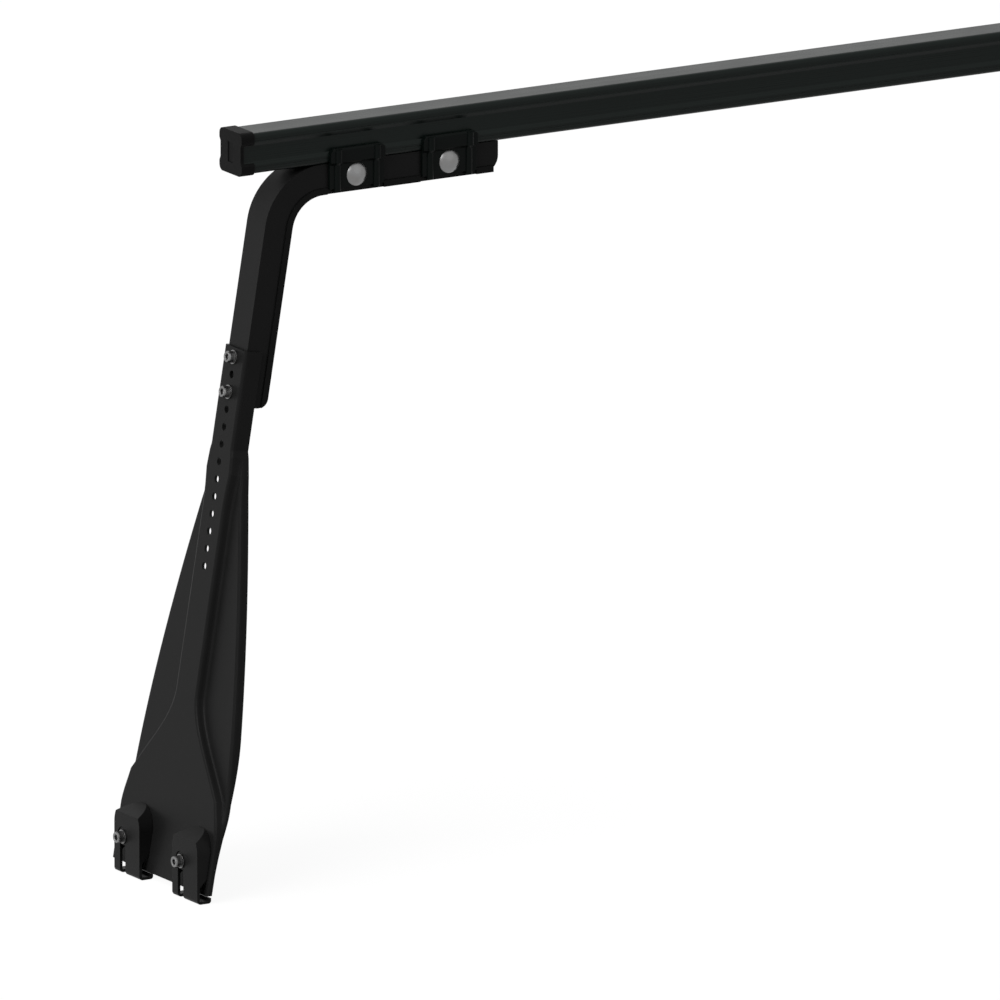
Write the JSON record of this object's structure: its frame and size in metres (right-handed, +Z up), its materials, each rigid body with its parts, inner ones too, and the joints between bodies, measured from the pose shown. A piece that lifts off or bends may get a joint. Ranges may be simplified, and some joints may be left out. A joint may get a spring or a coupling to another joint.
{
  "type": "roof bar foot",
  "caption": "Gutter-mounted foot for a roof bar: pressed leg with height holes, bent arm, saddle clamps, screw-tightened hook jaws and a length of bar.",
  "frame": {"origin": "middle of the leg's lower edge, where it seats in the vehicle's rain gutter", "axes": "+X inboard along the bar, +Y towards the side of the clamp nuts, +Z up"},
  "size_m": [0.8662, 0.16, 0.6458],
  "materials": {
    "leg_paint": "satin black powder coat",
    "arm_paint": "satin black powder coat",
    "cover_paint": "satin black",
    "bar_paint": "semi-gloss black coat on rolled steel",
    "cap_plastic": "fine-grained moulded plastic",
    "clamp_paint": "satin black coat",
    "zinc": "bright zinc plate",
    "bare_steel": "plain zinc plate"
  },
  "bodies": {
    "foot": {"leg": "leg_paint", "arm": "arm_paint", "arm_cover": "cover_paint", "arm_nut_plate": "bare_steel", "arm_screw_upper": "zinc", "arm_screw_lower": "zinc", "arm_washer_upper": "zinc", "arm_washer_lower": "zinc", "saddle_front_outer": "clamp_paint", "saddle_front_inner": "clamp_paint", "saddle_back_outer": "clamp_paint", "saddle_back_inner": "clamp_paint", "saddle_bolt_outer": "zinc", "saddle_bolt_inner": "zinc", "saddle_washer_outer": "bare_steel", "saddle_washer_inner": "bare_steel", "saddle_nut_outer": "bare_steel", "saddle_nut_inner": "bare_steel", "jaw_nut_left": "bare_steel", "jaw_nut_right": "bare_steel"},
    "roof_bar": {"bar": "bar_paint", "bar_end_cap": "cap_plastic"},
    "left_jaw": {"jaw_left": "leg_paint", "jaw_screw_left": "zinc", "jaw_washer_left": "zinc"},
    "right_jaw": {"jaw_right": "leg_paint", "jaw_screw_right": "zinc", "jaw_washer_right": "zinc"}
  },
  "joints": [
    {"name": "bar_slide", "type": "slide", "parent": "foot", "child": "roof_bar", "axis": [1, 0, 0], "range_m": [-0.06, 0.055]},
    {"name": "left_jaw_slide", "type": "slide", "parent": "foot", "child": "left_jaw", "axis": [-1, 0, 0], "range_m": [0, 0.008]},
    {"name": "right_jaw_slide", "type": "slide", "parent": "foot", "child": "right_jaw", "axis": [-1, 0, 0], "range_m": [0, 0.008]}
  ]
}
